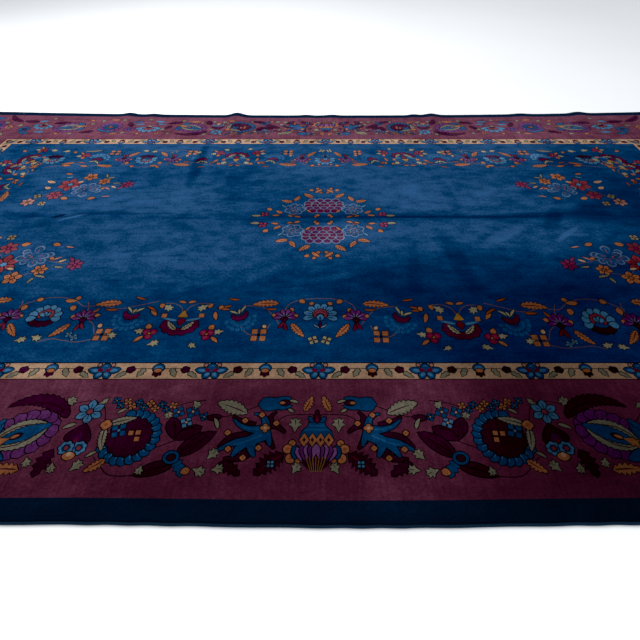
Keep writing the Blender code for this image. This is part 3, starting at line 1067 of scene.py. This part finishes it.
def acanthus():
    """Curling blue horns about an orange flower, shaded in maroon, with orange buds among them."""
    back, front = [], []
    for heap, yarn, width, points in (
        # horns behind or in front, yarn, width at the root, points from root to tip
        (back, "maroon", 30, (2 - 6j, -20 - 12j, -44 - 2j, -66 + 16j)),
        (back, "maroon", 24, (2, -12 - 26j, -14 - 44j, -30 - 62j)),
        (back, "maroon", 34, (0 + 14j, 50 + 26j, 110 + 34j, 146 + 70j)),
        (back, "maroon", 34, (40 + 70j, 66 + 104j, 122 + 110j)),
        (back, "maroon", 26, (-4 + 30j, -20 + 54j, -34 + 74j)),
        (back, "maroon", 26, (40 - 6j, 90 - 26j, 116 - 44j)),
        (front, "mid_blue", 24, (0, 6 - 32j, 24 - 50j, 44 - 54j)),
        (front, "mid_blue", 28, (0 + 2j, 40 + 6j, 82 - 6j, 112 - 32j)),
        (front, "mid_blue", 40, (0 + 20j, 46 + 46j, 96 + 54j, 146 + 80j)),
        (front, "mid_blue", 34, (40 + 44j, 40 + 74j, 28 + 102j)),
        (front, "mid_blue", 30, (64 + 54j, 84 + 78j, 98 + 102j)),
        (front, "mid_blue", 28, (2 + 6j, -12 + 36j, -20 + 64j)),
    ):
        heap.append((yarn, stem(points, width * 1.15, 0.9)))
    shapes = joined(back) + joined(front)
    for points in ((10 + 26j, 60 + 50j, 100 + 62j), (10 + 4j, 50 + 4j, 84 - 8j), (4 - 14j, 14 - 38j)):
        shapes.append(("_soft_blue", stem(points, 8)))
    for spot in (18 - 50j, 73 - 28j, -34 - 18j, 125 + 18j, 16 + 72j, 114 + 76j, 62 + 106j):
        shapes += put([("orange", disc(10, 4)), ("_rust", disc(4, n=6))], spot)
    return shapes + put([("orange", disc(17, 4, 0.4)), ("_cream", disc(6, n=6))], 2)


def trumpet():
    """Maroon cup of three petals with small blue flowers at its mouth."""
    cup = []
    for turn, long in ((-147, 92), (-114, 62), (-70, 90)):
        cup += put([("maroon", petal(long, 46, 0.6, 0.7))], 24 + 42j, turn)
    shapes = joined(cup)
    for *points, width in ((-30 - 6j, 10 + 8j, 26 + 34j, 8), (44 - 28j, 34, 27 + 30j, 7)):
        shapes += [("_plum_dark", stem(points, width))]
    for spot, r in ((2 - 24j, 19), (-11 - 66j, 22), (38 - 64j, 20), (-54 - 46j, 14)):
        shapes += put(squares(r, "light_blue" if r == 19 else "mid_blue", "cream"), spot, 24)
    return shapes


def ring_flower():
    """Blue ring round maroon, with a ragged blue leaf."""
    shapes = put(leaf("mid_blue", 66, 40, -0.6, 3), -12 + 8j, 138)
    return shapes + [("mid_blue", disc(26, flat=0.86)), ("maroon", disc(13, flat=0.8))]


def round_flower():
    """Crescent of blue petals round a dark scalloped disc, with two saw-edged leaves in its opening."""
    ray = [("mid_blue", petal(44, 32, 0.62, 0.5, n=6)), ("_light_blue", petal(30, 3, n=3))]
    shapes = ringed(ray, 17, 30, 254, 60) + [("maroon", disc(74, 15, 0.1))]
    shapes += put(squares(24, "orange", "maroon")[:3], -14 - 2j, 4)
    shapes += put(squares(26, "mid_blue", "light_blue"), 42 - 22j, 14)
    shapes += put(leaf("sage", 96, 30, -0.3, 7, "maroon", bite=0.3), 88 - 42j, 206)
    shapes += put(leaf("sage", 92, 28, 0.4, 7, "maroon", bite=0.3), 90 - 38j, 88)
    return shapes + put([("orange", disc(19, 4)), ("_rust", disc(7, n=6))], 92 - 44j)


def pansy():
    """Dark pointed hood over two round light petals and an orange lip."""
    hood = [("maroon", petal(84, 88, 0.3, 0.95, 0.25, n=6)), ("_purple_dark", petal(50, 34, 0.4, 0.8, n=5))]
    shapes = put(hood + [("_coral_dark", petal(34, 12, 0.4))], 6 + 38j, -106)
    face = [("light_blue", disc(25, 7)), ("_mid_blue", disc(16, 6)), ("coral", disc(8, n=7))]
    lip = [("orange", petal(30, 40, 0.5, 0.6)), ("_cream", petal(18, 16, 0.6, 0.6, n=5))]
    return shapes + put(face, -20 + 47j) + put(face, 21 + 47j) + put(lip, 2 + 60j, 90)


def paisley():
    """Purple scallops round an almond of two saw-edged leaves, with a flame in it; its tip at +x."""
    ray = [("purple", petal(46, 46, 0.62, 0.5, n=6)), ("_purple_dark", petal(30, 3, n=3))]
    shapes = ringed(ray, 15, out=70, oval=0.62) + put([("mid_blue", petal(176, 100, 0.5, 0.75))], -88)
    for way in (1, -1):
        side = leaf("sage", 176, 26, -1.5, 10, "maroon", bite=0.3)
        shapes += put(side, complex(-86, 8 * way), 44 * way, way)
    shapes += put([("maroon", petal(40, 18, 0.5, 0.8)), ("_orange", petal(32, 12, 0.5, 0.8))], -40)
    for way in (-1, 1):
        shapes += put([("mid_blue", petal(76, 34, 0.5, 0.7, 0.9))], complex(-96, -12 * way), -82 * way, way)
    flame = [("orange", both(0, 12 + 20j, 30 + 8j, 34 + 16j, 66)), ("_gold", petal(44, 9, n=4))]
    return shapes + put(flame + berries("orange", 18, 4, "rust"), -104)


def dark_rosette():
    """Many-petalled round flower, purple over blue, with a coral and gold eye."""
    outer = [("purple", petal(88, 44, 0.68, 0.5, n=6)), ("_mid_blue", petal(40, 9, 0.6, n=4))]
    inner = [("blue", petal(56, 28, 0.66, 0.5, n=5)), ("_lavender", petal(30, 5, n=3))]
    shapes = ringed(outer, 13, out=4) + ringed(inner, 11)
    return shapes + ringed([("coral", disc(9, n=8))], 5, out=13) + [("gold", disc(8, n=7))]


def water_lily():
    """Half-open lily: light petals standing round a coral heart, open towards +x."""
    outer = [("light_blue", petal(82, 34, 0.6, 0.6, n=6)), ("_mid_blue", petal(55, 7, 0.6, n=4))]
    inner = [("coral", petal(46, 22, 0.6, 0.6, n=5)), ("_maroon", petal(28, 5, n=3))]
    shapes = ringed(outer, 6, -75, 150) + ringed(inner, 4, -48, 96)
    return shapes + put(SPRIG, 0, 180) + [("maroon", disc(12, n=8))]


BORDER = [
    # motif, u, v, turn, size; or a stem's yarn, its points and width
    ("outline", 0 + 1160j, 98 + 1162j, 140 + 1190j, 3.5),
    ("outline", 205 + 1125j, 300 + 1165j, 387 + 1172j, 3.5),
    ("outline", 457 + 1256j, 516 + 1282j, 560 + 1300j, 3.5),
    ("outline", 551 + 1378j, 637 + 1379j, 685 + 1340j, 710 + 1318j, 3.5),
    ("outline", 392 + 1102j, 450 + 1112j, 500 + 1130j, 3.5),
    ("outline", 716 + 1195j, 745 + 1125j, 800 + 1106j, 860 + 1122j, 3.5),
    ("outline", 1080 + 1190j, 1140 + 1140j, 1190 + 1190j, 1250 + 1330j, 3.5),
    ("outline", 1100 + 1360j, 1200 + 1380j, 1320 + 1360j, 1450 + 1380j, 1560 + 1370j, 3.5),
    ("outline", 1260 + 1130j, 1380 + 1110j, 1500 + 1130j, 1640 + 1110j, 1740 + 1160j, 3.5),
    ("outline", 1720 + 1360j, 1860 + 1385j, 2000 + 1360j, 2120 + 1380j, 3.5),
    ("outline", 1950 + 1120j, 2060 + 1100j, 2160 + 1130j, 2260 + 1100j, 3.5),
    (palmette, 0, 1236, 0),
    (FLAME, 46, 1146, -122, 0.84),
    (SPRIG, 73, 1172, 90, 1.35),
    (THIN, 68, 1112, -30, 0.7),
    (lily, 206, 1117, 180),
    (acanthus, 171, 1211, 0),
    (leaf("maroon", 110, 70, 0.3, 6, "coral_dark"), 104, 1304, 30),
    (squares(12, "light_blue", "maroon"), 143, 1337, 0),
    (leaf("maroon", 80, 44, -0.4, 4), 304, 1334, 160),
    (SPRIG, 52, 1334, 60),
    (SPRIG, 288, 1352, 10),
    (SPRIG, 318, 1290, 50, 1.1),
    (SPRIG, 344, 1370, -20, 1.1),
    (leaf("sage", 118, 56, 0.2, 7, "maroon", 0.5, 0.3), 240, 1156, -28),
    (trumpet, 440, 1215, 0),
    (leaf("maroon", 52, 22, 0.3), 376, 1172, 176),
    (THIN, 332, 1214, -80, 0.9),
    (SPRIG, 412, 1132, -50, 0.9),
    (leaf("maroon", 145, 54, -0.3, 0, "plum_dark"), 448, 1314, 226),
    ("plum_dark", 430 + 1310j, 390 + 1276j, 362 + 1240j, 3),
    ("plum_dark", 436 + 1296j, 410 + 1262j, 372 + 1228j, 3),
    (leaf("maroon", 130, 42, 0.2, 0, "plum_dark"), 444, 1340, 12),
    (ring_flower, 461, 1318, 0),
    (bud("orange", 13), 392, 1358, 20),
    (SPRIG, 552, 1376, -100, 0.8),
    (round_flower, 618, 1245, 0),
    (SPRIG, 506, 1176, -74, 0.9),
    (THIN, 660, 1138, 20, 0.7),
    (leaf("sage", 58, 21, 0.2, 3), 738, 1094, 52),
    (THIN, 812, 1198, 10, 0.9),
    (blossom(6, 48, "light_blue", "mid_blue", "coral"), 784, 1150, 15),
    (pansy, 788, 1240, 0),
    (THIN, 706, 1300, 20, 0.7),
    (FLAME, 668, 1326, 46, -0.85),
    (SPRIG, 738, 1332, 50, 1.1),
    (SPRIG, 826, 1372, -84, 0.9),
    (leaf("maroon", 96, 54, 0.3, 4), 848, 1292, 68),
    # from here on only on the long sides
    (SPRIG, 908, 1352, -70, 0.9),
    (SPRIG, 852, 1094, 40, 1.2),
    (FEATHER, 853, 1174, -58),
    (paisley, 974, 1236, 205),
    (FLAME, 926, 1362, -10, 1.15),
    (SPRIG, 1040, 1384, -20),
    (MAROON_CUT, 1060, 1352, -25, 1.2),
    (BLUE_CUT, 1096, 1218, -150, 0.8),
    (MAROON_CUT, 1130, 1275, -70),
    (water_lily, 1285, 1235, -90, 1.15),
    (SPRIG, 1170, 1215, -60, 1.1),
    (PALE_CUT, 1190, 1355, -6),
    (PALE_CUT, 1240, 1310, 200, -0.9),
    (PALE_CUT, 1330, 1305, -20, 0.9),
    (BLUE_CUT, 1350, 1350, 0, -1.2),
    (berries("orange", 18, 4, "rust"), 1205, 1125, 0),
    (bud("orange", 12), 1345, 1130, -110),
    (SPRIG, 1290, 1392, -10),
    (SPRIG, 1140, 1120, 160, 0.9),
    (berries("purple", 40, 6, "mid_blue"), 1420, 1200, 0),
    (MAROON_CUT, 1412, 1250, 60),
    (SPRIG, 1440, 1150, -60),
    (dark_rosette, 1565, 1240, 0),
    (leaf("mid_blue", 190, 26, -1.4, 0, "light_blue"), 1655, 1215, -120),
    (FLAME, 1480, 1128, -20, 0.8),
    (SPRIG, 1480, 1372, -10),
    (FLAME, 1532, 1378, 0, 0.9),
    (SPRIG, 1640, 1350, 40),
    (MAROON_CUT, 1665, 1165, -30, 1.1),
    (SPRIG, 1700, 1290, 30),
    (bud("orange", 14), 1720, 1365, -10),
    (FEATHER, 2000, 1300, 158, 0.95),
    (paisley, 1860, 1228, -14, -1),
    (SPRIG, 1800, 1118, -10),
    (bud("orange", 13), 1900, 1110, 0),
    (water_lily, 2060, 1265, -80),
    (PALE_CUT, 2010, 1145, -15),
    (PALE_CUT, 2060, 1345, 0, -0.9),
    (berries("mid_blue", 42, 6, "maroon"), 2175, 1190, 0),
    (MAROON_CUT, 2120, 1325, 0, 1.3),
    (BLUE_CUT, 2110, 1108, 10, 1.3),
    (SPRIG, 2215, 1265, -20, 1.2),
    (SPRIG, 2010, 1392, 0),
]
CORNER = [
    (dark_rosette, 2430, 1232, 0, 1.15),
    (leaf("maroon", 180, 56, 0.8, 8, "plum_dark"), 2245, 1325, 20),
    (leaf("sage", 140, 50, -0.5, 8, "maroon"), 2280, 1080, 35),
    (water_lily, 2520, 1325, 45),
    (BLUE_CUT, 2400, 1372, 10, 1.2),
    (BLUE_CUT, 2585, 1160, 80, -1.2),
    (berries("orange", 30, 5, "mid_blue"), 2305, 1225, 0),
    (berries("orange", 30, 5, "mid_blue"), 2435, 1108, 0),
    (FLAME, 2515, 1080, 20, 0.8),
    (SPRIG, 2560, 1215, 20, 1.2),
    (SPRIG, 2340, 1290, 50, 1.2),
    (MAROON_CUT, 2480, 1045, -20, 1.1),
]


def florets():
    """Two staggered rows of tiny squared flowers."""
    tints = "mid_blue", "mid_blue", "orange", "orange"
    return [(squares(13, tints[k % 4], "gold"), 707 - 20.5 * k, 1104 + 2 * k + 18 * (k % 2), 8 * k)
            for k in range(11)]


border_wool = cut_pile("plum_border_wool", 0.1, 0.7, 0.036)
flowers = florets()
border = placed(BORDER + flowers) + turned_corner(placed(first(BORDER, 860) + flowers)) + placed(CORNER)
for name, inside, outside, sides in (
    # piece, where its band begins and ends (-1 for a plain rectangle), quarters that it covers
    ("front_border_pile", (-1, STRIPE_EDGE[1]), BORDER_EDGE, ALL_ROUND[2:]),
    ("back_border_pile", (-1, STRIPE_EDGE[1]), BORDER_EDGE, ALL_ROUND[:2]),
    ("end_border_pile", (STRIPE_EDGE[0], -1), (BORDER_EDGE[0], STRIPE_EDGE[1]), ALL_ROUND),
):
    knot(name, "plum", inside, outside, border, border_wool, sides)


# --- The navy guard -----------------------------------------------------------------------------
# The outermost band of pile, plain dark navy, worn down a little where it meets the bound edge.
# The same wool and height as the border it frames.

knot("guard_pile", "guard", BORDER_EDGE, REACH, [], cut_pile("navy_guard_wool", 0.2, 0, 0), rim=0.005)


# --- The overcast edges -------------------------------------------------------------------------
# Each edge is bound into a cord: outer warps gathered together and wrapped round and round with
# navy wool yarn, stitch beside stitch, as the weaver goes. The ends are finished in the same way.

CORD_WIDTH, CORD_HEIGHT = 0.0100, 0.0080
STITCH, RIDGE = 0.0075, 0.0006  # along the edge for one turn of the yarn, and how far it stands up
END_GAP = 0.0003  # between the cords at the corners
PATH_STEPS = 436

rough = {"Roughness": 0.85, "Specular IOR Level": 0.05}
bound_wool, shader, start, place = finish_of("navy_overcast_wool", rough)
wrap_groove_shade = start.node("Attribute", {"attribute_name": "wrap_groove_shade"}, {}, "Fac")
tint = speckle(place, (1, 1, 1), 9.0, 3.0).between((0.001, 0.010, 0.026), (0.002, 0.019, 0.046))
fluff = speckle(place, (1, 1, 1), 900)
# Painted shade: the colour darkens in the grooves between the turns of yarn and lightens on their crests
wire(shader, tint.colour("MULTIPLY", (wrap_groove_shade * 0.5 + 0.6).grey()), bumps=[(fluff, 0.0003)])


def wrapping():
    """Yarn wrapped slantwise round a path: a round profile swept along it and ridged."""
    tree = bpy.data.node_groups.new("wrapped_edge", "GeometryNodeTree")
    tree.is_modifier = True
    face = tree.interface
    face.new_socket("Geometry", in_out="INPUT", socket_type="NodeSocketGeometry")
    sizes = {"Cord Width": CORD_WIDTH, "Cord Height": CORD_HEIGHT, "Stitch Pitch": STITCH, "Ridge": RIDGE}
    for name, size in sizes.items():
        face.new_socket(name, in_out="INPUT", socket_type="NodeSocketFloat").default_value = size
    face.new_socket("Yarn", in_out="INPUT", socket_type="NodeSocketMaterial")
    face.new_socket("Geometry", in_out="OUTPUT", socket_type="NodeSocketGeometry")

    def add(kind, settings, values, out=0):
        """The output of a new node, its settings made first and then its inputs set or linked."""
        made = tree.nodes.new(kind)
        for key, value in settings.items():
            setattr(made, key, value)
        for key, value in values.items():
            if isinstance(value, bpy.types.NodeSocket):
                tree.links.new(value, made.inputs[key])
            else:
                made.inputs[key].default_value = value
        return made.outputs[out]

    def maths(operation, a, b=0.0):
        return add("ShaderNodeMath", {"operation": operation}, {0: a, 1: b})

    def geometry(kind, values, **settings):
        return add("GeometryNode" + kind, settings, values)

    def store(shape, name, value):
        return geometry("StoreNamedAttribute", {"Geometry": shape, "Name": name, "Value": value},
                        data_type="FLOAT", domain="POINT")

    def stored(name):
        return geometry("InputNamedAttribute", {"Name": name}, data_type="FLOAT")

    given = tree.nodes.new("NodeGroupInput").outputs
    pitch = given["Stitch Pitch"]
    path = geometry("MeshToCurve", {"Mesh": given["Geometry"]})
    path = geometry("ResampleCurve", {"Curve": path, "Length": maths("DIVIDE", pitch, 3.0)}, mode="LENGTH")
    path = geometry("SetCurveNormal", {"Curve": path}, mode="Z_UP")
    path = store(path, "run", add("GeometryNodeSplineParameter", {}, {}, "Length"))
    ring = geometry("CurvePrimitiveCircle", {"Resolution": 8, "Radius": 0.5})
    oval = add("ShaderNodeCombineXYZ", {}, {"X": given["Cord Width"], "Y": given["Cord Height"], "Z": 1.0})
    ring = geometry("Transform", {"Geometry": ring, "Scale": oval})
    ring = store(ring, "round", add("GeometryNodeSplineParameter", {}, {}, "Factor"))
    cord = geometry("CurveToMesh", {"Curve": path, "Profile Curve": ring, "Fill Caps": True})
    turns = maths("ADD", maths("DIVIDE", stored("run"), pitch), stored("round"))
    ridge = maths("COSINE", maths("MULTIPLY", turns, 2 * pi))
    depth = maths("MULTIPLY", maths("SUBTRACT", ridge, 1.0), given["Ridge"])
    pushed = {0: geometry("InputNormal", {}), "Scale": depth}
    out = add("ShaderNodeVectorMath", {"operation": "SCALE"}, pushed)
    # how high each turn of yarn stands, 0 in the grooves, kept for the painted groove shade
    cord = store(cord, "wrap_groove_shade", maths("MULTIPLY", maths("ADD", ridge, 1.0), 0.5))
    cord = geometry("SetPosition", {"Geometry": cord, "Offset": out})
    cord = geometry("RealizeInstances", {"Geometry": cord})
    cord = geometry("SetMaterial", {"Geometry": cord, "Material": given["Yarn"]})
    tree.links.new(cord, tree.nodes.new("NodeGroupOutput").inputs[0])
    return tree


overcast = wrapping()
sockets = {item.name: item.identifier for item in overcast.interface.items_tree if item.in_out == "INPUT"}
front, right = HALF_WIDTH - CORD_WIDTH / 2, HALF_LENGTH - CORD_WIDTH / 2
side = HALF_WIDTH - CORD_WIDTH - END_GAP
for edge, begin, end in (
    # edge, its first and last point in the weave
    ("front", (-HALF_LENGTH, -front), (HALF_LENGTH, -front)),
    ("back", (-HALF_LENGTH, front), (HALF_LENGTH, front)),
    ("left", (-right, -side), (-right, side)),
    ("right", (right, -side), (right, side)),
):
    x, y = lay(*np.linspace(begin, end, PATH_STEPS + 1).T)
    path = bpy.data.meshes.new("path")
    steps = [(k, k + 1) for k in range(PATH_STEPS)]
    path.from_pydata(np.stack([x, y, lift(x, y) + CORD_HEIGHT / 2], -1), steps, [])
    rail = stand("rail", path)
    wound = rail.modifiers.new("wound", "NODES")
    wound.node_group = overcast
    wound[sockets["Yarn"]] = bound_wool
    wound[sockets["Stitch Pitch"]] = STITCH
    mesh = bpy.data.meshes.new_from_object(rail.evaluated_get(bpy.context.evaluated_depsgraph_get()))
    bpy.data.objects.remove(rail)
    mesh.shade_smooth()
    cord = stand("overcast_edge_" + edge, mesh)
    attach(cord, "root")
    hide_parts("edge_cord_" + edge)
